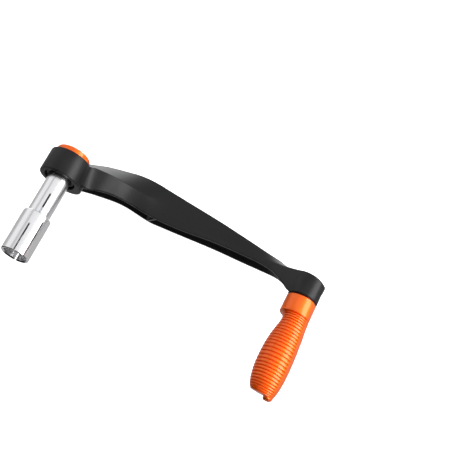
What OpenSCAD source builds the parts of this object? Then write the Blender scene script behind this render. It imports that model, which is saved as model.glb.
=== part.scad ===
// Guard that keeps a brake lever from being pressed by what passes beside it.
// It sits on the left end of the handlebar: X points in along the bar, Y forward
// and Z up, in mm. The origin is on the bar's axis, on the face of the boss that
// meets the bar, so the plug lies at positive X and the arm outside at negative X.

/* [Bar end] */
// diameter of the boss on the bar's end
boss_d = 25.8; // [24:0.2:28]
// thickness of the boss along the bar
boss_len = 15; // [13:0.5:17]
// edge break round the boss
boss_chamfer = 0.8; // [0.4:0.1:1.2]
// edge break round the face that meets the bar
face_chamfer = 0.4; // [0.2:0.1:0.8]
// radius of the lobe where the arm's root swells out of the boss
lobe_r = 9.5; // [9:0.1:10]
// diameter of the shallow seat round the plug
seat_d = 19.6; // [18.4:0.2:21]
// depth of that seat
seat_depth = 2; // [1:0.25:3]

/* [End ring] */
// outer diameter of the coloured ring
ring_d = 21.2; // [20:0.2:22]
// how far the ring stands proud of the boss
ring_proud = 3.7; // [2.5:0.1:5]
// diameter of the ring's spigot, set into the boss
spigot_d = 15.6; // [15:0.2:17]
// depth of the spigot in the boss
spigot_len = 5; // [4:0.25:6]
// diameter of the well the screw head sits in
well_d = 12.6; // [11.6:0.2:13]
// number of flats milled on the ring's rim
ring_flats = 6; // [4:1:8]
// how deep each flat is cut
flat_cut = 0.3; // [0.2:0.05:0.6]
// depth of the shallow recess the ring sits in
recess_depth = 0.8; // [0.4:0.1:1.2]
// gap round the ring in that recess
recess_gap = 0.8; // [0.4:0.1:1.2]

/* [Clamp screw] */
// thread diameter of the screw
screw_d = 6; // [5:0.5:6.5]
// diameter of the screw head
head_d = 10; // [9:0.25:10.5]
// height of the screw head
head_h = 6; // [5:0.25:6.5]
// width of the hexagon socket across its flats
socket_af = 5; // [4:0.5:5.5]
// depth of the hexagon socket
socket_depth = 3.2; // [2.5:0.1:4]

/* [Plug] */
// outer diameter of the split plug
plug_d = 14; // [13.5:0.25:15]
// length of the plug past the boss
plug_len = 30; // [29:0.5:33]
// bore of the plug round the screw
plug_bore = 8; // [7.5:0.25:8.5]
// mouth of the tapered bore at the plug's free end
plug_mouth = 11; // [10.5:0.25:11.5]
// length of the tapered bore
taper_len = 9; // [8:0.5:11]
// width of the slots in the plug and in the sleeve
slot_w = 1; // [0.8:0.1:1.4]
// distance from the boss to the start of the plug's slots
slot_start = 12.5; // [10:0.5:14]
// how far the wedge nut stands out of the plug
nut_proud = 5; // [4:0.5:6]

/* [Adapter sleeve] */
// outer diameter of the sleeve that fits the wider bar
sleeve_d = 17.6; // [17:0.1:18.2]
// length of the sleeve
sleeve_len = 27; // [24:0.5:29]
// distance from the boss to the sleeve, which slides on the plug
sleeve_at = 26; // [24:0.5:27]
// distance from the sleeve's near end to the start of its short slots
short_slot = 8.5; // [6:0.5:12]
// edge break at the mouths of the sleeve's bore
sleeve_mouth = 0.7; // [0.3:0.1:1]

/* [Arm] */
// distance from the bar's axis to the tip's axis
reach = 158.5; // [150:0.5:168]
// drop of the arm's bend below the line between those axes
drop = 45; // [42:0.5:48]
// how far the ridge stands out past the face that meets the bar
bow = 32.4; // [31:0.2:34]
// thickness of the arm's two walls at the open side
wall = 2.4; // [2:0.1:3]
// metal left under the ridge at the floor of the channel
floor_t = 5; // [4.5:0.1:6]
// distance the tip's seat lies in from the face that meets the bar
tip_inset = 9; // [8:0.5:10]
// thickness of the round eye that carries the tip
eye_len = 10.5; // [9.5:0.25:12]

/* [Tip] */
// diameter of the tip's plain collar and of the eye
collar_d = 17.8; // [17:0.1:18.6]
// length of the plain collar
collar_len = 11; // [10:0.5:12]
// whole length of the tip
tip_len = 61; // [57:0.5:65]
// distance between two ribs
rib_pitch = 1.7; // [1.6:0.05:2]
// depth of the grooves between the ribs
rib_depth = 0.55; // [0.3:0.05:0.7]
// diameter of the stud that joins the tip to the eye
stud_d = 6; // [5:0.5:6]
// length of the stud
stud_len = 19; // [17:0.5:20]

/* [Hidden] */
$fn = 64;
fit = 0.05;          // radial clearance of pieces that slide together
black = [0.09, 0.09, 0.1];
orange = [0.93, 0.36, 0.05];
silver = [0.76, 0.77, 0.79];

well_floor = boss_len - spigot_len + 1.6;
ring_seat = boss_len - recess_depth;
lip_h = seat_depth * 0.4; // height of the lip round the plug's foot
nut_end = -plug_len - nut_proud;

// The arm's stations from the boss to the eye. Each row holds the foot of the
// upper wall, the crease beside it, the ridge and the foot of the lower wall,
// each as distance out, forward and down, and how open the channel is there.
stations = [
  [[2, 11.3, -5], [13.3, 11, -5.6], [14.5, -4, 8.4], [2, -9, 6], 0],
  [[2.2, 12.8, -1.4], [13.9, 12.7, -3.2], [16.4, -2.4, 10.4], [2.2, -9.1, 9.4], 0],
  [[2.7, 14.3, 2], [14.9, 14.2, -1], [19.4, 0.4, 12.8], [2.9, -8.4, 13], 0.1],
  [[3.4, 17, 5], [16, 16.6, 0.4], [22.5, 4, 15], [4, -6.5, 17], 0.3],
  [[6, 22.5, 6.8], [17.1, 23.6, 3.4], [28, 16, 18.6], [9, 1, 28], 0.9],
  [[8.3, 29.5, 10.2], [18, 30, 7.4], [31, 28, 20.6], [13.6, 13, 35], 1],
  [[9.5, 38, 14.6], [18.8, 38, 12.8], [32.4, 37, 20.9], [16.8, 29, 40.9], 1],
  [[9.3, 47.5, 17.8], [18.5, 47.5, 15.8], [31.9, 47, 20.4], [15.3, 47, 45], 1],
  [[8.4, 58, 18.3], [18.4, 58, 18.4], [29.8, 58, 19.3], [14, 58, 42.3], 1],
  [[7.3, 75, 15.9], [16.6, 75, 16.4], [26.1, 75, 16.6], [12.2, 75, 37.5], 1],
  [[6.9, 95, 11.7], [14.3, 95, 12.8], [21.8, 95, 13.7], [9.9, 95, 31.4], 1],
  [[5.5, 115, 8.1], [11.4, 115, 9.8], [17.2, 115, 11.6], [7.1, 115, 25.7], 1],
  [[3.7, 129, 5.6], [8.8, 129, 7.6], [13.6, 130, 10.1], [5.1, 130, 21.2], 0.8],
  [[0.3, 138, 2.9], [7, 138, 3.2], [11.4, 138.5, 9.4], [3.8, 139, 19.2], 0.3],
  [[-4.8, 144.5, -1], [6, 144.7, -1.4], [9, 144.5, 11], [1.4, 146, 19.6], 0],
  [[-8.6, 149.5, -4], [5.7, 149.5, -4.2], [5.8, 150, 16.5], [-1.2, 150.5, 18.9], 0],
  [[-9, 155, -8], [5.2, 155, -7.8], [4.6, 155.5, 13], [-4.5, 155.5, 14.6], 0],
  [[-9, 160.5, -8.6], [4.2, 160.5, -9.3], [3.6, 161, 8.6], [-7, 161, 8.8], 0],
  [[-9, 165, -5.8], [3, 165, -7.8], [2.9, 165.6, 4.2], [-8.6, 165, 4.6], 0],
  [[-9, 166.8, -2.6], [2.3, 167.6, -4], [2.3, 167.8, 0.4], [-9, 166.8, 0.6], 0]
];

// The tip's form from its collar to its end, for a tip 61 long on a collar of
// 17.8. Each row holds the distance past the collar, the half widths forward,
// back, down and up, how far the back stops short of the front, the slant of the
// end, and how far forward the middle lies. The last three rows are the nose.
tip_form = [
  [-0.6, 8.85, 8.7, 8.85, 8.85, 0, 0, 0],
  [1.8, 9, 6.3, 8.6, 8.3, 0, 0, 0],
  [5.5, 9.2, 6.1, 8.6, 8.1, 0, 0, 0],
  [10.5, 9.7, 7.2, 9, 8.5, 0, 0, 0],
  [15.5, 10, 8.2, 9.5, 8.9, 0, 0, 0],
  [20.5, 10.3, 8.8, 9.9, 9.2, 0, 0, 0],
  [26.5, 10.5, 9.1, 10.2, 9.3, 0, 0, 0],
  [32.5, 10.5, 9, 10, 9.2, 0, 0, 0],
  [37.5, 10.3, 8.5, 9.6, 8.9, 0, 0, 0],
  [42, 9.9, 7.6, 8.9, 8.2, 0, 0.05, 0],
  [45.5, 9.2, 6.4, 8, 7.2, 0.2, 0.12, 0],
  [47.9, 8.5, 5.1, 7.2, 6.2, 0.8, 0.2, 0],
  [48, 2.8, 2.8, 5, 4.6, 0, 0.2, 5.6],
  [49.4, 2.5, 2.4, 4.2, 3.9, 0, 0.2, 5.5],
  [50.2, 1.5, 1.4, 2.6, 2.4, 0, 0.2, 5.4]
];

// a smooth curve through four neighbouring values
function curve(a, b, c, d, t) =
  0.5 * (2 * b + (c - a) * t + (2 * a - 5 * b + 4 * c - d) * t * t
  + (3 * b - a - 3 * c + d) * t * t * t);

// the value at place u along a list, on that curve
function along(list, u) =
  let (last = len(list) - 1, i = min(floor(u), last - 1), t = u - i)
  curve(list[max(i - 1, 0)], list[i], list[i + 1], list[min(i + 2, last)], t);

function mix(a, b, t) = a + (b - a) * t;
function toward(a, b, dist) = a + (b - a) * (dist / norm(b - a));

// a closed skin over rings of equal length, with flat ends
module skin(rings) {
  n = len(rings[0]);
  m = len(rings);
  polyhedron(
    points = [for (r = rings) each r],
    faces = concat(
      [for (i = [1 : n - 2]) [0, i + 1, i]],
      [for (i = [1 : n - 2]) [(m - 1) * n, (m - 1) * n + i, (m - 1) * n + i + 1]],
      [for (j = [0 : m - 2], i = [0 : n - 1])
        [j * n + i, (j + 1) * n + (i + 1) % n, (j + 1) * n + i]],
      [for (j = [0 : m - 2], i = [0 : n - 1])
        [j * n + i, j * n + (i + 1) % n, (j + 1) * n + (i + 1) % n]]
    ),
    convexity = 6
  );
}

// a shape turned about the bar's axis, drawn as points of distance out and radius
module turned(points) {
  rotate([0, -90, 0]) rotate_extrude() polygon([for (p = points) [p[1], p[0]]]);
}

// a point given as distance out, forward and down
function place(p) = [-p[0], p[1], -p[2]];

// one section of the arm: roof outside, channel inside
function section(row) =
  let (
    size = [bow / 32.4, reach / 158.5, drop / 45],
    foot = [for (k = [0 : 2]) row[0][k] * size[k]],
    crease = [for (k = [0 : 2]) row[1][k] * size[k]],
    ridge = [for (k = [0 : 2]) row[2][k] * size[k]],
    far = [for (k = [0 : 2]) row[3][k] * size[k]],
    open = max(0, min(1, row[4])),
    edge = min(wall, norm(far - foot) * 0.3),
    lip = toward(foot, far, edge),
    far_lip = toward(far, foot, edge),
    middle = mix(lip, far_lip, 0.5),
    deep_crease = toward(crease, middle, wall + 1),
    deep_ridge = toward(ridge, middle, floor_t)
  )
  [for (p = [
    ridge, far, far_lip,
    mix(mix(lip, far_lip, 0.6), deep_ridge, max(open, 0.05)),
    mix(mix(lip, far_lip, 0.2), deep_crease, max(open, 0.05)),
    lip, foot, crease
  ]) place(p)];

module arm_body() {
  steps = (len(stations) - 1) * 3;
  skin([for (s = [0 : steps]) section(along_rows(s / 3))]);
}

// a row of stations at place u
function along_rows(u) =
  [for (k = [0 : 4]) along([for (r = stations) r[k]], u)];

module arm() {
  eye_out = eye_len - tip_inset;
  color(black)
  difference() {
    union() {
      arm_body();
      turned([
        [0, 0], [0, boss_d / 2 - face_chamfer], [face_chamfer, boss_d / 2],
        [boss_len - boss_chamfer, boss_d / 2],
        [boss_len, boss_d / 2 - boss_chamfer], [boss_len, 0]
      ]);
      translate([0, lobe_r * 0.42, -lobe_r * 0.44]) turned([
        [0, 0], [0, lobe_r - face_chamfer], [face_chamfer, lobe_r],
        [boss_len / 2, lobe_r], [boss_len / 2, 0]
      ]);
      translate([0, reach, 0]) turned([
        [-tip_inset, 0], [-tip_inset, collar_d / 2],
        [eye_out - 1.5, collar_d / 2], [eye_out, collar_d / 2 - 1.5], [eye_out, 0]
      ]);
    }
    // seat and hole for the plug and its screw
    turned([
      [-boss_len, 0], [-boss_len, seat_d / 2], [seat_depth, seat_d / 2],
      [seat_depth, plug_d / 2 + 1.8], [seat_depth - lip_h, plug_d / 2 + 1.8],
      [seat_depth - lip_h, plug_d / 2 + 0.6], [seat_depth, plug_d / 2 + 0.6], [seat_depth, 0]
    ]);
    turned([[-1, 0], [-1, screw_d / 2 + 0.3], [40, screw_d / 2 + 0.3], [40, 0]]);
    // pocket for the ring
    turned([
      [boss_len - spigot_len, 0], [boss_len - spigot_len, spigot_d / 2 + fit],
      [ring_seat, spigot_d / 2 + fit], [ring_seat, ring_d / 2 + recess_gap],
      [boss_len * 3, ring_d / 2 + recess_gap], [boss_len * 3, 0]
    ]);
    // blind hole for the stud, and room for the tip
    translate([0, reach, 0]) turned([
      [-tip_inset - collar_d, 0], [-tip_inset - collar_d, collar_d * 0.8],
      [-tip_inset, collar_d * 0.8],
      [-tip_inset, stud_d / 2 + fit], [-tip_inset + stud_len / 2, stud_d / 2 + fit],
      [-tip_inset + stud_len / 2, 0]
    ]);
  }
}

module end_ring() {
  color(orange)
  difference() {
    turned([
      [boss_len - spigot_len, screw_d / 2 + 0.3], [boss_len - spigot_len, spigot_d / 2],
      [ring_seat, spigot_d / 2], [ring_seat, ring_d / 2],
      [boss_len + ring_proud - 0.7, ring_d / 2],
      [boss_len + ring_proud, ring_d / 2 - 0.7],
      [boss_len + ring_proud, well_d / 2 + 0.4], [boss_len + ring_proud - 0.4, well_d / 2],
      [well_floor, well_d / 2], [well_floor, screw_d / 2 + 0.3]
    ]);
    for (k = [0 : ring_flats - 1])
      rotate([k * 360 / ring_flats, 0, 0])
      translate([-boss_len - ring_proud * 1.2, -ring_d / 4, ring_d / 2 - flat_cut])
      cube([ring_proud, ring_d / 2, 3]);
  }
}

module clamp_screw() {
  top = well_floor + head_h;
  color(silver)
  difference() {
    turned([
      [nut_end + 0.4, 0], [nut_end + 0.4, screw_d / 2 - 0.6], [nut_end + 1, screw_d / 2],
      [well_floor, screw_d / 2], [well_floor, head_d / 2],
      [top - 0.5, head_d / 2], [top, head_d / 2 - 0.5], [top, 0]
    ]);
    translate([socket_depth - top, 0, 0])
      rotate([0, -90, 0])
      cylinder(h = socket_depth + 1, r = socket_af / sqrt(3), $fn = 6);
  }
}

module slots(count, from, to, turn, step = 90) {
  for (k = [0 : count - 1])
    rotate([turn + k * step, 0, 0])
    translate([from, -slot_w / 2, 2])
    cube([to - from, slot_w, 12]);
}

module plug() {
  color(silver)
  difference() {
    turned([
      [seat_depth, plug_bore / 2], [seat_depth, plug_d / 2],
      [-plug_len + 0.5, plug_d / 2], [-plug_len, plug_d / 2 - 0.5],
      [-plug_len, plug_mouth / 2], [-plug_len + taper_len, plug_bore / 2]
    ]);
    slots(4, slot_start, plug_len + 1, -19.5);
  }
}

module wedge_nut() {
  slope = (plug_mouth - plug_bore) / 2 / taper_len;
  inner = plug_bore / 2 - fit;
  color(silver)
  turned([
    [-plug_len + taper_len, screw_d / 2 + fit], [-plug_len + taper_len, inner],
    [-plug_len, inner + slope * taper_len], [-plug_len - 1, inner + slope * taper_len],
    [nut_end + 1, inner + slope * taper_len - 0.5], [nut_end, inner + slope * taper_len - 1.5],
    [nut_end, screw_d / 2 + fit]
  ]);
}

module sleeve() {
  end = -sleeve_at - sleeve_len;
  bore = plug_d / 2 + fit;
  color(silver)
  difference() {
    turned([
      [-sleeve_at - 0.4, sleeve_d / 2], [-sleeve_at, sleeve_d / 2 - 0.4],
      [-sleeve_at, bore], [end + sleeve_mouth, bore], [end, bore + sleeve_mouth],
      [end, sleeve_d / 2 - 0.4], [end + 0.4, sleeve_d / 2]
    ]);
    slots(1, 0, 1 - end, -51);
    slots(3, sleeve_at + short_slot, 1 - end, -8, 90);
  }
}

// Round the tip: the smooth keel in front lies between the two edges, and the
// grooves run round the rest.
keel_edge = 32;
round_steps = 20;
tip_angles = concat(
  [-keel_edge, -keel_edge / 2, 0, keel_edge / 2, keel_edge],
  [for (i = [0 : round_steps]) keel_edge + 2 + (356 - 2 * keel_edge) * i / round_steps]
);

// one ring of the tip; cut is how deep it lies in a groove
function tip_ring(row, cut) =
  let (size = collar_d / 17.8)
  [for (a = tip_angles)
    let (
      keel = abs(a) < keel_edge && row[7] == 0,
      flat = cos(keel_edge) + (1 - cos(keel_edge)) * (1 - abs(a) / keel_edge),
      depth = abs(a) > keel_edge ? cut : 0,
      y = (keel ? mix(flat, cos(a), 0.3) : cos(a)) * ((cos(a) > 0 ? row[1] : row[2]) * size - depth),
      z = sin(a) * ((sin(a) > 0 ? row[3] : row[4]) * size - depth),
      far = row[0] - row[5] * (1 - cos(a)) / 2 - row[6] * z
    )
    place([
      -tip_inset - collar_len - far * (tip_len - collar_len) / 50,
      reach + y + row[7] * size, z
    ])
  ];

module tip_body() {
  nose = 3;
  last = len(tip_form) - 1 - nose;
  body_form = [for (i = [0 : last]) tip_form[i]];
  ribs = floor((tip_len - collar_len) * 0.93 / rib_pitch);
  first = 0.55;
  skin(concat(
    [tip_ring(tip_form[0], 0), tip_ring(along_tip(body_form, 0.4), 0)],
    [for (k = [0 : ribs - 1], s = [0 : 2])
      tip_ring(along_tip(body_form, first + (last - first) * (k + s / 3.2) / ribs),
        s == 1 ? 0 : rib_depth)],
    [for (i = [last : last + nose]) tip_ring(tip_form[i], 0)]
  ));
}

// a row of the tip's form at place u
function along_tip(form, u) = [for (k = [0 : 7]) along([for (r = form) r[k]], u)];

module tip() {
  color(orange)
  difference() {
    union() {
      tip_body();
      translate([tip_inset, reach, 0]) turned([
        [0, 0], [0, collar_d / 2 - 0.3], [-0.3, collar_d / 2],
        [-collar_len + 0.5, collar_d / 2], [-collar_len - 0.6, collar_d / 2 - 1.2],
        [-collar_len - 0.6, 0]
      ]);
    }
    translate([tip_inset, reach, 0]) turned([
      [1, 0], [1, stud_d / 2 + fit], [-stud_len / 2 - 0.5, stud_d / 2 + fit],
      [-stud_len / 2 - 0.5, 0]
    ]);
  }
}

module tip_stud() {
  color(silver)
  translate([tip_inset, reach, 0]) turned([
    [stud_len / 2, 0], [stud_len / 2, stud_d / 2 - 0.5], [stud_len / 2 - 0.5, stud_d / 2],
    [-stud_len / 2 + 0.5, stud_d / 2], [-stud_len / 2, stud_d / 2 - 0.5], [-stud_len / 2, 0]
  ]);
}

arm();
end_ring();
clamp_screw();
plug();
wedge_nut();
sleeve();
tip();
tip_stud();
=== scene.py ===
import math
import bmesh
import bpy
from mathutils import Matrix, Vector


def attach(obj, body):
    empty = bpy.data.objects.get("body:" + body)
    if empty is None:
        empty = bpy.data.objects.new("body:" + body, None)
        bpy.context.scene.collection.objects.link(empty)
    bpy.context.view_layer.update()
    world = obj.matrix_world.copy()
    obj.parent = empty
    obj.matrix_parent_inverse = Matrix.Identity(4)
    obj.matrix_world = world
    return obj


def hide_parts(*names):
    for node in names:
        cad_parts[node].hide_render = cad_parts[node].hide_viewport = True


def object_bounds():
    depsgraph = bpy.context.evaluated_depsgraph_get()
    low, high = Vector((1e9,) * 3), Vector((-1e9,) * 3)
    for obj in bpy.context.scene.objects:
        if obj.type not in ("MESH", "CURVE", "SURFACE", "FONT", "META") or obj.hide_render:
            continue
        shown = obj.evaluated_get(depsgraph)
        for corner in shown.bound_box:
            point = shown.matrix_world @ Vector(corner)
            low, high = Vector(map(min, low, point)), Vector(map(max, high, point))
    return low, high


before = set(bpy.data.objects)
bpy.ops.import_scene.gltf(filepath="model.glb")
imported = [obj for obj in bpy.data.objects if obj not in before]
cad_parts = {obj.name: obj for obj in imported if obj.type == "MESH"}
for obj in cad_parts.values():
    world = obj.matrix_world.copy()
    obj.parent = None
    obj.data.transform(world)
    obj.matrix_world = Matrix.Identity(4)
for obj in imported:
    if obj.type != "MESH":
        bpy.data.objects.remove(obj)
cadLow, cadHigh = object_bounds()
mm = 0.001
print("frame loaded")


# an sRGB hex colour, turned to the linear one that a shader wants
def linearColour(hexText):
    parts = [int(hexText[i:i + 2], 16) / 255 for i in (1, 3, 5)]
    return [p / 12.92 if p <= 0.04045 else ((p + 0.055) / 1.055) ** 2.4 for p in parts] + [1]


# one node with its settings, values and links
def addNode(tree, kind, settings=None, values=None, links=None):
    node = tree.nodes.new(kind)
    for name, value in (settings or {}).items():
        setattr(node, name, value)
    for name, value in (values or {}).items():
        node.inputs[name].default_value = value
    for name, source in (links or {}).items():
        tree.links.new(source, node.inputs[name])
    return node


def startMaterial(name):
    material = bpy.data.materials.new(name)
    material.use_nodes = True
    tree = material.node_tree
    tree.nodes.clear()
    place = addNode(tree, "ShaderNodeTexCoord").outputs["Object"]
    return material, tree, place


def endMaterial(tree, shader):
    addNode(tree, "ShaderNodeOutputMaterial", links={"Surface": shader.outputs["BSDF"]})


# a material that is one plain shader, for the studio's own things
def plainMaterial(name, values):
    material, tree = startMaterial(name)[:2]
    endMaterial(tree, addNode(tree, "ShaderNodeBsdfPrincipled", values=values))
    return material


def makeMesh(name, bm):
    mesh = bpy.data.meshes.new(name)
    bm.to_mesh(mesh)
    bm.free()
    thing = bpy.data.objects.new(name, mesh)
    bpy.context.scene.collection.objects.link(thing)
    return thing


# camera, where the photograph was taken from, in metres
camera = {
    "place": (0.22566, 0.213085, 0.573224),
    "right": (-0.42042, 0.9073, 0.00754),
    "up": (-0.82541, -0.3859, 0.41205),
    "back": (0.37676, 0.16701, 0.91113),
    "lens": 84.26,
    "sensor": 36,
    "clipStart": 0.01,
}


def buildCamera():
    data = bpy.data.cameras.new("camera")
    data.lens = camera["lens"]
    data.sensor_width = camera["sensor"]
    data.clip_start = camera["clipStart"]
    thing = bpy.data.objects.new("camera", data)
    turn = Matrix([camera["right"], camera["up"], camera["back"]]).transposed()
    thing.matrix_world = Matrix.Translation(camera["place"]) @ turn.to_4x4()
    bpy.context.scene.collection.objects.link(thing)
    bpy.context.scene.camera = thing


buildCamera()
print("camera placed")

# studio: pale floor, white surround, soft lights; in metres but for the floor
studio = {
    "floorDrop": 4,          # below the guard, mm
    "floorSize": 4000,       # mm
    "floorColour": "#f4f4f3",
    "floorRough": 0.9,
    "aimedAt": (0, 0.08, 0),
    "surroundColour": "#ffffff",
    "surround": 0.5,         # brightness all round
    "bounce": 2.0,           # and where light is thrown back up, from behind and below
    "bounceFrom": (-0.8, -0.1, -0.59),
    "bounceFade": (0.78, 0.97),   # how closely a direction must match to see it
    "flagColour": "#000000",
    "flag": ((0.45, -0.02, 0), 1.7, 1.1),   # place, width and height
    "lights": [
        # name, place, width, depth, watts, whether it shows in reflections
        ("overhead", (0, 0.08, 1.5), 2.0, 2.0, 62, False),
        ("topLight", (-0.35, 0.2, 0.95), 1.2, 0.7, 1.2, True),
        ("keyLight", (-0.13, 0.93, 0.46), 1.65, 0.66, 17, True),
        ("sideLight", (-0.27, -0.88, 0.51), 1.2, 0.85, 1.5, True),
    ],
}


# the placing of a light or card that looks towards the guard's middle
def facing(place):
    away = Vector(place) - Vector(studio["aimedAt"])
    return Matrix.Translation(place) @ away.to_track_quat("Z", "Y").to_matrix().to_4x4()


def makeCard(name, width, height, placing, material):
    bm = bmesh.new()
    bmesh.ops.create_grid(bm, x_segments=1, y_segments=1, size=0.5)
    bmesh.ops.scale(bm, verts=bm.verts, vec=(width, height, 1))
    bmesh.ops.transform(bm, verts=bm.verts, matrix=placing)
    card = makeMesh(name, bm)
    card.data.materials.append(material)
    return card


# white all round, and brighter on the side that the light is thrown back from
def buildWorld():
    world = bpy.data.worlds.new("surround")
    world.use_nodes = True
    tree = world.node_tree
    direction = addNode(tree, "ShaderNodeTexCoord").outputs["Generated"]
    match = addNode(tree, "ShaderNodeVectorMath", {"operation": "DOT_PRODUCT"},
                    {1: studio["bounceFrom"]}, {0: direction})
    low, high = studio["bounceFade"]
    strength = addNode(tree, "ShaderNodeMapRange", values={
        "From Min": low, "From Max": high,
        "To Min": studio["surround"], "To Max": studio["bounce"]},
        links={"Value": match.outputs["Value"]})
    background = tree.nodes["Background"]
    background.inputs["Color"].default_value = linearColour(studio["surroundColour"])
    tree.links.new(strength.outputs["Result"], background.inputs["Strength"])
    bpy.context.scene.world = world


def buildStudio():
    size = studio["floorSize"] * mm
    paper = plainMaterial("paperSweep", {
        "Base Color": linearColour(studio["floorColour"]), "Roughness": studio["floorRough"]})
    under = Matrix.Translation((0, 0, cadLow.z - studio["floorDrop"] * mm))
    floor = makeCard("floor", size, size, under, paper)
    floor.visible_glossy = False   # reflections see the surround instead

    # a black card, seen only in reflections, that keeps the channel's inside dark
    black = plainMaterial("blackCard", {
        "Base Color": linearColour(studio["flagColour"]), "Roughness": 1.0,
        "Specular IOR Level": 0.0})
    place, width, height = studio["flag"]
    flag = makeCard("blackFlag", width, height, facing(place), black)
    flag.visible_camera = flag.visible_diffuse = flag.visible_shadow = False

    buildWorld()
    bpy.context.scene.view_settings.view_transform = "Standard"
    for name, place, width, depth, watts, reflected in studio["lights"]:
        data = bpy.data.lights.new(name, "AREA")
        data.shape = "RECTANGLE"
        data.size, data.size_y, data.energy = width, depth, watts
        light = bpy.data.objects.new(name, data)
        light.matrix_world = facing(place)
        light.visible_glossy = reflected
        bpy.context.scene.collection.objects.link(light)


buildStudio()
print("studio built")

# the finishes; sizes in mm, "rough" at both ends of the finish's pattern, "bump"
# how strongly its relief shows
looks = {
    "black": {
        "colour": "#070708", "specular": 0.34, "grain": 0.35, "patches": 18,
        "rough": (0.36, 0.46), "bump": 0.12, "relief": 0.05,
    },
    "orange": {
        "colour": "#fb6c0c", "metallic": 0.96, "coat": 0.75, "coatRough": 0.1, "grain": 0.4,
        "rough": (0.5, 0.58), "bump": 0.08, "relief": 0.05,
    },
    "aluminium": {
        "colour": "#eeeef0", "rings": 0.8, "ringsWander": 0.4,
        "rough": (0.2, 0.28), "bump": 0.05, "relief": 0.03,
    },
    "steel": {"colour": "#d3d7de", "clouds": 2, "rough": (0.16, 0.3)},
    "screw": {   # its two colours are greys
        # the shank's darker grey is painted shade, not the steel's own colour
        "headColour": "#d4d4d4", "shankShadeColour": "#3f3f3f", "shankFrom": (-9.5, -9.0),
        "pitch": 1, "rough": 0.3, "bump": 0.6, "relief": 0.3,
    },
}


# the scale at which a wave texture's bands lie this many mm apart
def bandScale(apart):
    return math.pi / (10 * apart * mm)


# what a finish's roughness and fine relief do to its shader, each from one pattern
def surfaceLinks(tree, look, roughSource, reliefSource):
    low, high = look["rough"]
    rough = addNode(tree, "ShaderNodeMapRange", values={"To Min": low, "To Max": high},
                    links={"Value": roughSource})
    bump = addNode(tree, "ShaderNodeBump", links={"Height": reliefSource}, values={
        "Strength": look["bump"], "Distance": look["relief"] * mm})
    return {"Roughness": rough.outputs["Result"], "Normal": bump.outputs["Normal"]}


# Anodised aluminium, bead blasted and dyed black: a soft broad sheen with a fine
# even grain, and no sharp reflection. The blasting's grain is about 0.1 mm; it is
# drawn at 0.35 mm so that it shows.
def blackAnodised(look):
    material, tree, place = startMaterial("blackAnodisedAluminium")
    grain, patches = [addNode(tree, "ShaderNodeTexNoise", links={"Vector": place}, values={
        "Scale": 1 / (size * mm), "Detail": detail}).outputs["Fac"]
        for size, detail in ((look["grain"], 2.0), (look["patches"], 3.0))]
    endMaterial(tree, addNode(tree, "ShaderNodeBsdfPrincipled", values={
        "Base Color": linearColour(look["colour"]), "Specular IOR Level": look["specular"]},
        links=surfaceLinks(tree, look, patches, grain)))
    return material


# Aluminium anodised orange over a turned and milled surface: a saturated colour
# that the metal gives back broadly, under a clear sealed layer with white
# highlights. Its grain of about 0.1 mm is drawn at 0.4 mm so that it shows.
def orangeAnodised(look):
    material, tree, place = startMaterial("orangeAnodisedAluminium")
    grain = addNode(tree, "ShaderNodeTexNoise", links={"Vector": place}, values={
        "Scale": 1 / (look["grain"] * mm), "Detail": 2.0}).outputs["Fac"]
    endMaterial(tree, addNode(tree, "ShaderNodeBsdfPrincipled", values={
        "Metallic": look["metallic"], "Base Color": linearColour(look["colour"]),
        "Coat Weight": look["coat"], "Coat Roughness": look["coatRough"]},
        links=surfaceLinks(tree, look, grain, grain)))
    return material


# Turned aluminium left bright: fine rings round the axis from the tool's feed of
# about 0.1 mm, drawn at 0.8 mm so that they show.
def turnedAluminium(look):
    material, tree, place = startMaterial("turnedAluminium")
    rings = addNode(tree, "ShaderNodeTexWave", {"wave_type": "BANDS", "bands_direction": "X"},
                    {"Scale": bandScale(look["rings"]), "Distortion": look["ringsWander"],
                     "Detail": 1.0}, {"Vector": place}).outputs["Fac"]
    endMaterial(tree, addNode(tree, "ShaderNodeBsdfPrincipled", values={
        "Metallic": 1.0, "Base Color": linearColour(look["colour"])},
        links=surfaceLinks(tree, look, rings, rings)))
    return material


# Zinc plated steel: darker and bluer than the aluminium, slightly clouded.
def zincSteel(look):
    material, tree, place = startMaterial("zincPlatedSteel")
    clouds = addNode(tree, "ShaderNodeTexNoise", links={"Vector": place}, values={
        "Scale": 1 / (look["clouds"] * mm), "Detail": 3.0}).outputs["Fac"]
    low, high = look["rough"]
    rough = addNode(tree, "ShaderNodeMapRange", values={"To Min": low, "To Max": high},
                    links={"Value": clouds})
    endMaterial(tree, addNode(tree, "ShaderNodeBsdfPrincipled", values={
        "Metallic": 1.0, "Base Color": linearColour(look["colour"])}, links={
        "Roughness": rough.outputs["Result"]}))
    return material


# The clamp screw: the same steel, with its thread rolled from the head's underside on and finely
# ribbed at 1 mm a turn. From there the shank's grey is painted darker: painted shade, for the
# shaded bore of the plug that it lies in.
def threadedSteelShadedShank(look):
    material, tree, place = startMaterial("threadedSteelShadedShank")
    along = addNode(tree, "ShaderNodeSeparateXYZ", links={"Vector": place}).outputs["X"]
    start, end = look["shankFrom"]
    head, shank = [linearColour(look[name])[0] for name in ("headColour", "shankShadeColour")]
    # grey from the head's to the shank's darker one: painted shade along the bar
    grey = addNode(tree, "ShaderNodeMapRange", links={"Value": along}, values={
        "From Min": start * mm, "From Max": end * mm,
        "To Min": head, "To Max": shank})
    thread = addNode(tree, "ShaderNodeTexWave", {"wave_type": "BANDS", "bands_direction": "X"},
                     {"Scale": bandScale(look["pitch"]), "Distortion": 0.0}, {"Vector": place})
    bump = addNode(tree, "ShaderNodeBump", links={"Height": thread.outputs["Fac"]}, values={
        "Strength": look["bump"], "Distance": look["relief"] * mm})
    endMaterial(tree, addNode(tree, "ShaderNodeBsdfPrincipled", values={
        "Metallic": 1.0, "Roughness": look["rough"]}, links={
        "Base Color": grey.outputs["Result"], "Normal": bump.outputs["Normal"]}))
    return material


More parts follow.
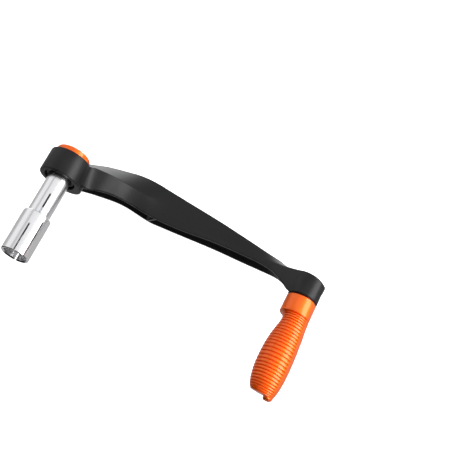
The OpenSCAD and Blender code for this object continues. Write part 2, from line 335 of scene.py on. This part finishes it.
finish = {
    "screw": threadedSteelShadedShank(looks["screw"]),
    "black": blackAnodised(looks["black"]),
    "orange": orangeAnodised(looks["orange"]),
    "aluminium": turnedAluminium(looks["aluminium"]),
    "steel": zincSteel(looks["steel"]),
}
print("materials made")


# the row at place u along a list of rows, on a smooth curve through them
def valueAt(rows, u):
    last = len(rows) - 1
    i = min(int(u), last - 1)
    t = u - i
    a, b, c, d = rows[max(i - 1, 0)], rows[i], rows[i + 1], rows[min(i + 2, last)]
    return [0.5 * (2 * q + (r - p) * t + (2 * p - 5 * q + 4 * r - s) * t * t
                   + (3 * q - p - 3 * r + s) * t ** 3) for p, q, r, s in zip(a, b, c, d)]


# a closed outline with each corner rounded, so that every ring has as many points
def roundCorners(corners, cuts, steps):
    most = 0.4   # of a side's length, for one corner
    points = []
    for i, corner in enumerate(corners):
        before, after = corners[i - 1] - corner, corners[(i + 1) % len(corners)] - corner
        start = corner + before.normalized() * min(cuts[i], before.length * most)
        end = corner + after.normalized() * min(cuts[i], after.length * most)
        for k in range(steps + 1):
            t = k / steps
            points.append(start.lerp(corner, t).lerp(corner.lerp(end, t), t))
    return points


# rings of points bridged into one closed skin
def bridgeRings(rings):
    bm = bmesh.new()
    loops = []
    for ring in rings:
        verts = [bm.verts.new(p) for p in ring]
        loops.append([bm.edges.new((verts[i - 1], verts[i])) for i in range(len(verts))])
    for first, second in zip(loops, loops[1:]):
        bmesh.ops.bridge_loops(bm, edges=first + second)
    for loop in (loops[0], loops[-1]):
        bmesh.ops.edgeloop_fill(bm, edges=loop)
    bmesh.ops.recalc_face_normals(bm, faces=bm.faces)
    return bm


# a profile of (place along the bar, radius) in mm, spun round the bar's axis
def spinProfile(profile, centre, steps=96):
    bm = bmesh.new()
    verts = [bm.verts.new((x * mm + centre[0], centre[1] + r * mm, centre[2]))
             for x, r in profile]
    edges = [bm.edges.new((verts[i], verts[i + 1])) for i in range(len(verts) - 1)]
    bmesh.ops.spin(bm, geom=verts + edges, cent=centre, axis=(1, 0, 0), angle=math.tau,
                   steps=steps, use_merge=True)
    bmesh.ops.remove_doubles(bm, verts=bm.verts, dist=1e-6)
    bmesh.ops.recalc_face_normals(bm, faces=bm.faces)
    return bm


# three points that round a turned edge, from the end face at x to the side at
# radius r; inward is the sign of the way from that face into the piece
def roundEdge(x, r, size, inward, middle=0.3):
    return [(x, r - size), (x + inward * size * middle, r - size * middle),
            (x + inward * size, r)]


# one solid joined to or cut from another, with the second one gone afterwards
def joinSolids(thing, other, how):
    step = thing.modifiers.new("join", "BOOLEAN")
    step.operation = how
    step.object = other
    step.solver = "EXACT"
    depsgraph = bpy.context.evaluated_depsgraph_get()
    shape = bpy.data.meshes.new_from_object(thing.evaluated_get(depsgraph))
    thing.modifiers.clear()
    old = thing.data
    thing.data = shape
    shape.name = old.name
    bpy.data.meshes.remove(old)
    bpy.data.objects.remove(other)


def joinTurned(thing, name, how, profile, centre=(0, 0, 0)):
    joinSolids(thing, makeMesh(name, spinProfile(profile, centre)), how)


def finishPiece(thing, material, nodes, smoothAngle):
    thing.data.materials.clear()
    thing.data.materials.append(material)
    for face in thing.data.polygons:
        face.material_index = 0
    thing.data.shade_smooth()
    thing.data.set_sharp_from_angle(angle=math.radians(smoothAngle))
    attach(thing, "root")
    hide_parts(*nodes)
    print(thing.name, "made with", len(thing.data.polygons), "faces")


# the arm, in mm
arm = {
    # one row a station: foot of the upper wall, crease, ridge and foot of the lower
    # wall, each as distance out, forward and down, then how open the channel is and
    # how far the crease is rounded
    "stations": [
        [2, 11.3, -5, 13.3, 11, -5.6, 14.5, -4, 8.4, 2, -9, 6, 0, 0.5],
        [2.2, 12.8, -1.4, 13.9, 12.7, -3.2, 16.4, -2.4, 10.4, 2.2, -9.1, 9.4, 0, 0.5],
        [2.7, 14.3, 2, 14.9, 14.2, -1, 19.4, 0.4, 12.8, 2.9, -8.4, 13, 0.1, 0.5],
        [3.4, 17, 5, 16, 16.6, 0.4, 22.5, 4, 15, 4, -6.5, 17, 0.3, 0.5],
        [6, 22.5, 6.8, 17.1, 23.6, 3.4, 28, 16, 18.6, 9, 1, 28, 0.9, 0.5],
        [8.3, 29.5, 10.2, 18, 30, 7.4, 31, 28, 20.6, 13.6, 13, 35, 1, 0.6],
        [9.5, 38, 14.6, 18.8, 38, 12.8, 32.4, 37, 20.9, 16.8, 29, 40.9, 1, 1],
        [9.3, 47.5, 17.8, 18.5, 47.5, 15.8, 31.9, 47, 20.4, 15.3, 47, 45, 1, 1.8],
        [8.4, 58, 18.3, 18.4, 58, 18.4, 29.8, 58, 19.3, 14, 58, 42.3, 1, 3],
        [7.3, 75, 15.9, 16.6, 75, 16.4, 26.1, 75, 16.6, 12.2, 75, 37.5, 1, 3],
        [6.9, 95, 11.7, 14.3, 95, 12.8, 21.8, 95, 13.7, 9.9, 95, 31.4, 1, 3],
        [5.5, 115, 8.1, 11.4, 115, 9.8, 17.2, 115, 11.6, 7.1, 115, 25.7, 1, 2.5],
        [3.7, 129, 5.6, 8.8, 129, 7.6, 13.6, 130, 10.1, 5.1, 130, 21.2, 0.8, 2],
        [0.3, 138, 2.9, 7, 138, 3.2, 11.4, 138.5, 9.4, 3.8, 139, 19.2, 0.3, 1.4],
        [-4.8, 144.5, -1, 6, 144.7, -1.4, 9, 144.5, 11, 1.4, 146, 19.6, 0, 1.4],
        [-8.6, 149.5, -4, 5.7, 149.5, -4.2, 5.8, 150, 16.5, -1.2, 150.5, 18.9, 0, 1.4],
        [-9, 155, -8, 5.2, 155, -7.8, 4.6, 155.5, 13, -4.5, 155.5, 14.6, 0, 1.4],
        [-9, 160.5, -8.6, 4.2, 160.5, -9.3, 3.6, 161, 8.6, -7, 161, 8.8, 0, 1.4],
        [-9, 165, -5.8, 3, 165, -7.8, 2.9, 165.6, 4.2, -8.6, 165, 4.6, 0, 1.4],
        [-9, 166.8, -2.6, 2.3, 167.6, -4, 2.3, 167.8, 0.4, -9, 166.8, 0.6, 0, 1.4],
    ],
    "stepsPerStation": 8,
    "wall": 2.4,             # thickness of the channel's walls at their lips
    "wallShare": 0.3,        # and at most this share of the section's height
    "floor": 5,              # thickness behind the channel at the ridge
    "creaseWall": 3.4,       # and at the crease
    "leastOpen": 0.05,       # how open the channel still is where it has closed
    "closedAt": (0.6, 0.2),  # the closed channel's inner corners, from lip to lip
    "rounding": {"ridge": 1.4, "far": 0.9, "lip": 0.4, "inside": 1.2, "foot": 0.8},
    "leastCrease": 0.3,      # rounding
    "cornerSteps": 3,
    "smoothAngle": 35,
    # the cross wall in the channel, at these stations below and above
    "webAt": (7.0, 7.95),
    "webThick": 1.8,
    "webBite": 0.6,          # into the walls
    # the boss, with the lobe where the arm's root swells out of it
    "bossRadius": 12.9,
    "bossLength": 15,
    "bossEdge": 0.8,         # edge break on the outer face
    "faceEdge": 0.4,         # and on the face that meets the bar
    "lobeRadius": 9.5,
    "lobePlace": (0, 3.99, -4.18),
    # the seat round the plug, with its raised lip
    "seatRadius": 9.8,
    "seatDepth": 2,
    "seatChamfer": (0.3, 0.35),   # deep and wide
    "seatCutter": (15, 3),        # how far the cutter goes on, and how far it flares
    "lipHeight": 0.8,
    "lipOuter": 8.8,
    "lipInner": 7.6,
    "lipEdge": 0.15,
    # the way for the screw, and the pocket and recess for the ring
    "screwHole": 3.3,
    "screwWay": (5, -12),    # from and to, along the bar
    "ringPocket": 7.85,
    "ringPocketDepth": 5,
    "recessDepth": 0.8,
    "ringClear": 11.4,
    "ringCutter": 45,        # how far out the ring's cutter goes
    # the eye, and the room for the tip on it
    "reach": 158.5,
    "eyeRadius": 8.9,
    "eyeLength": 10.5,
    "eyeEdge": 0.7,          # edge break on the face that meets the tip
    "eyeBackEdge": 1.5,
    "tipInset": 9,
    "tipRoom": (30, 14),     # length and radius
    "studHole": 3.05,
    "studHoleDepth": 9.5,
}


# a section's corners, round from the ridge past the channel to the crease
def armCorners(row):
    foot, crease, ridge, far = [
        Vector((-row[k] * mm, row[k + 1] * mm, -row[k + 2] * mm)) for k in (0, 3, 6, 9)]

    def stepTo(a, b, distance):
        return a + (b - a).normalized() * distance

    opened = max(arm["leastOpen"], min(1, row[12]))
    edge = min(arm["wall"] * mm, (far - foot).length * arm["wallShare"])
    lip, farLip = stepTo(foot, far, edge), stepTo(far, foot, edge)
    middle = lip.lerp(farLip, 0.5)
    deepRidge = stepTo(ridge, middle, arm["floor"] * mm)
    deepCrease = stepTo(crease, middle, arm["creaseWall"] * mm)
    closedRidge, closedCrease = [lip.lerp(farLip, share) for share in arm["closedAt"]]
    return [
        ridge, far, farLip, closedRidge.lerp(deepRidge, opened),
        closedCrease.lerp(deepCrease, opened), lip, foot, crease,
    ]


def armRing(row):
    names = ["ridge", "far", "lip", "inside", "inside", "lip", "foot", "crease"]
    rounding = dict(arm["rounding"], crease=max(arm["leastCrease"], row[13]))
    return roundCorners(armCorners(row), [rounding[n] * mm for n in names], arm["cornerSteps"])


# the cross wall in the channel at the bend: a plate between the two walls
def channelWeb():
    below, above = [valueAt(arm["stations"], at) for at in arm["webAt"]]
    ridge, far, farLip, deepRidge = armCorners(below)[:4]
    deepCrease, lip, foot, crease = armCorners(above)[4:]
    inner, outer = [farLip, deepRidge, deepCrease, lip], [far, ridge, crease, foot]
    corners = [p + (q - p).normalized() * arm["webBite"] * mm for p, q in zip(inner, outer)]
    bm = bmesh.new()
    face = bm.faces.new([bm.verts.new(p) for p in corners])
    bm.normal_update()
    side = face.normal * arm["webThick"] * mm
    bmesh.ops.translate(bm, verts=bm.verts, vec=-side / 2)
    moved = bmesh.ops.extrude_face_region(bm, geom=[face])["geom"]
    verts = [v for v in moved if isinstance(v, bmesh.types.BMVert)]
    bmesh.ops.translate(bm, verts=verts, vec=side)
    bmesh.ops.triangulate(bm, faces=bm.faces)
    bmesh.ops.recalc_face_normals(bm, faces=bm.faces)
    return makeMesh("channelWeb", bm)


def addBoss(body):
    r, length, face = arm["bossRadius"], arm["bossLength"], arm["faceEdge"]
    joinTurned(body, "boss", "UNION", [
        (0, 0), *roundEdge(0, r, face, -1),
        *reversed(roundEdge(-length, r, arm["bossEdge"], 1)), (-length, 0)])
    joinSolids(body, channelWeb(), "UNION")
    lobe = arm["lobeRadius"]
    joinTurned(body, "lobe", "UNION", [
        (0, 0), *roundEdge(0, lobe, face, -1), (-length / 2, lobe), (-length / 2, 0)],
        Vector(arm["lobePlace"]) * mm)


def addEye(body, centre):
    front, back, r = arm["tipInset"], arm["tipInset"] - arm["eyeLength"], arm["eyeRadius"]
    joinTurned(body, "eye", "UNION", [
        (front, 0), (front, r - arm["eyeEdge"]), (front - arm["eyeEdge"], r),
        *reversed(roundEdge(back, r, arm["eyeBackEdge"], 1, 1 / 3)), (back, 0)], centre)


def cutSeat(body):
    r, outer, inner = arm["seatRadius"], arm["lipOuter"], arm["lipInner"]
    deep = -arm["seatDepth"]
    lip, edge = deep + arm["lipHeight"], arm["lipEdge"]
    chamferDeep, chamferWide = arm["seatChamfer"]
    past, flare = arm["seatCutter"]
    proud = 0.01   # clear of the boss's face
    joinTurned(body, "seat", "DIFFERENCE", [
        (past, 0), (past, r + flare), (proud, r + chamferWide), (-chamferDeep, r),
        (deep, r), (deep, outer), (lip - edge, outer), (lip, outer - edge),
        (lip, inner), (deep, inner), (deep, 0)])


# a plain round hole between two places along the bar
def cutHole(body, name, start, end, radius, centre=(0, 0, 0)):
    joinTurned(body, name, "DIFFERENCE", [
        (start, 0), (start, radius), (end, radius), (end, 0)], centre)


def buildArm():
    steps = arm["stepsPerStation"]
    body = makeMesh("guardArm", bridgeRings([
        armRing(valueAt(arm["stations"], s / steps))
        for s in range((len(arm["stations"]) - 1) * steps + 1)]))
    centre = (0, arm["reach"] * mm, 0)
    addBoss(body)
    addEye(body, centre)
    cutSeat(body)
    cutHole(body, "screwWay", *arm["screwWay"], arm["screwHole"])
    outside = -arm["bossLength"]
    pocket, recess = outside + arm["ringPocketDepth"], outside + arm["recessDepth"]
    joinTurned(body, "ringPocket", "DIFFERENCE", [
        (pocket, 0), (pocket, arm["ringPocket"]), (recess, arm["ringPocket"]),
        (recess, arm["ringClear"]), (-arm["ringCutter"], arm["ringClear"]),
        (-arm["ringCutter"], 0)])
    front = arm["tipInset"]
    length, room = arm["tipRoom"]
    holeEnd = front - arm["studHoleDepth"]
    joinTurned(body, "tipRoom", "DIFFERENCE", [
        (front + length, 0), (front + length, room), (front, room), (front, arm["studHole"]),
        (holeEnd, arm["studHole"]), (holeEnd, 0)], centre)
    finishPiece(body, finish["black"], ["arm"], arm["smoothAngle"])


buildArm()

# the tip, in mm
tip = {
    # one row a ring: distance past the collar, half widths forward, back, down and
    # up, how far the back stops short of the front, the end's slant, and how far
    # forward the middle lies
    "form": [
        [-0.6, 8.85, 8.7, 8.85, 8.85, 0, 0, 0],
        [1.8, 9, 6.3, 8.6, 8.3, 0, 0, 0],
        [5.5, 9.2, 6.1, 8.6, 8.1, 0, 0, 0],
        [10.5, 9.7, 7.2, 9, 8.5, 0, 0, 0],
        [15.5, 10, 8.2, 9.5, 8.9, 0, 0, 0],
        [20.5, 10.3, 8.8, 9.9, 9.2, 0, 0, 0],
        [26.5, 10.5, 9.1, 10.2, 9.3, 0, 0, 0],
        [32.5, 10.5, 9, 10, 9.2, 0, 0, 0],
        [37.5, 10.3, 8.5, 9.6, 8.9, 0, 0, 0],
        [42, 9.9, 7.6, 8.9, 8.2, 0, 0.05, 0],
        [45.5, 9.2, 6.4, 8, 7.2, 0.2, 0.12, 0],
        [47.9, 8.5, 5.1, 7.2, 6.2, 0.8, 0.2, 0],
    ],
    "nose": [
        [48, 2.8, 2.8, 5, 4.6, 0, 0.2, 5.6],
        [48.8, 2.75, 2.7, 4.8, 4.4, 0, 0.2, 5.6],
        [49.4, 2.5, 2.4, 4.2, 3.9, 0, 0.2, 5.5],
        [49.9, 2.1, 2.0, 3.5, 3.2, 0, 0.2, 5.45],
        [50.2, 1.5, 1.4, 2.6, 2.4, 0, 0.2, 5.4],
    ],
    "collarRadius": 8.9,
    "collarLength": 11,
    # places along the collar, the negative ones from its far end, and how deep its
    # surface lies there; the first two leave the dark gap beside the eye
    "collarEdges": [
        (0, 1.9), (0.55, 1.9), (0.57, 0.4), (0.65, 0.12), (0.95, 0), (4, 0), (8, 0),
        (-0.5, 0), (-0.15, 0.15), (-0.01, 0.5),
    ],
    "shoulder": 0.4,         # place in the form where the collar's end has run out
    "keelEdge": 32,          # half angle of the smooth keel in front
    "keelSteps": 4,
    "keelRound": 0.3,        # from 0 for a straight-sided keel to 1 for a round one
    "grooveStart": 1.2,      # degrees from the keel's edge to where the grooves are deep
    "backSteps": 60,
    "ribs": 27,
    "ribsFrom": 0.55,        # place in the form of the first rib
    "ribsStop": 0.05,        # and how far before the form's end the last one stops
    "ribDepth": 0.8,
    # places along one rib, and how much of that depth they are cut
    "ribProfile": [
        (0, 1), (0.06, 0.95), (0.12, 0.5), (0.17, 0.12), (0.25, 0.02), (0.5, 0),
        (0.75, 0.02), (0.83, 0.12), (0.88, 0.5), (0.94, 0.95),
    ],
    "smoothAngle": 30,
    "studHole": 3.05,
    "studHoleDepth": 10,
    "cutterLead": 1,
}


# one ring round the tip; cut is how deep it lies in a groove, outside the keel
def tipRing(row, cut):
    far, front, back, below, above, short, slant, forward = row
    edge, steps = tip["keelEdge"], tip["backSteps"]
    start = edge + tip["grooveStart"]
    angles = [edge * k / tip["keelSteps"] for k in range(-tip["keelSteps"], tip["keelSteps"] + 1)]
    angles += [start + (360 - 2 * start) * k / steps for k in range(steps + 1)]
    corner = math.cos(math.radians(edge))
    points = []
    for angle in angles:
        c, s = math.cos(math.radians(angle)), math.sin(math.radians(angle))
        keel = abs(angle) <= edge
        deep = 0 if keel else cut
        flat = corner + (1 - corner) * (1 - abs(angle) / edge)
        along = flat + (c - flat) * tip["keelRound"] if keel and not forward else c
        down = s * ((below if s > 0 else above) - deep)
        points.append(Vector((
            arm["tipInset"] + tip["collarLength"] + far - short * (1 - c) / 2 - slant * down,
            arm["reach"] + forward + along * ((front if c > 0 else back) - deep),
            -down)) * mm)
    return points


def buildTip():
    r, length, start = tip["collarRadius"], tip["collarLength"], arm["tipInset"]
    rings = []
    for far, deep in tip["collarEdges"]:
        past = far - length if far >= 0 else far
        rings.append(tipRing([past] + [r - deep] * 4 + [0, 0, 0], 0))
    rings.append(tipRing(valueAt(tip["form"], tip["shoulder"]), 0))
    first, last = tip["ribsFrom"], len(tip["form"]) - 1 - tip["ribsStop"]
    for k in range(tip["ribs"]):
        for share, cut in tip["ribProfile"]:
            u = first + (last - first) * (k + share) / tip["ribs"]
            rings.append(tipRing(valueAt(tip["form"], u), cut * tip["ribDepth"]))
    rings += [tipRing(row, 0) for row in [tip["form"][-1]] + tip["nose"]]
    body = makeMesh("ribbedTip", bridgeRings(rings))
    cutHole(body, "studWay", start - tip["cutterLead"], start + tip["studHoleDepth"],
            tip["studHole"], (0, arm["reach"] * mm, 0))
    finishPiece(body, finish["orange"], ["tip"], tip["smoothAngle"])


buildTip()

# the turned pieces keep their CAD meshes and take their real finishes
for name, material in {"end_ring": "orange", "clamp_screw": "screw", "plug": "aluminium",
                       "wedge_nut": "steel", "sleeve": "aluminium", "tip_stud": "steel"}.items():
    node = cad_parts[name]
    node.data.materials.clear()
    node.data.materials.append(finish[material])
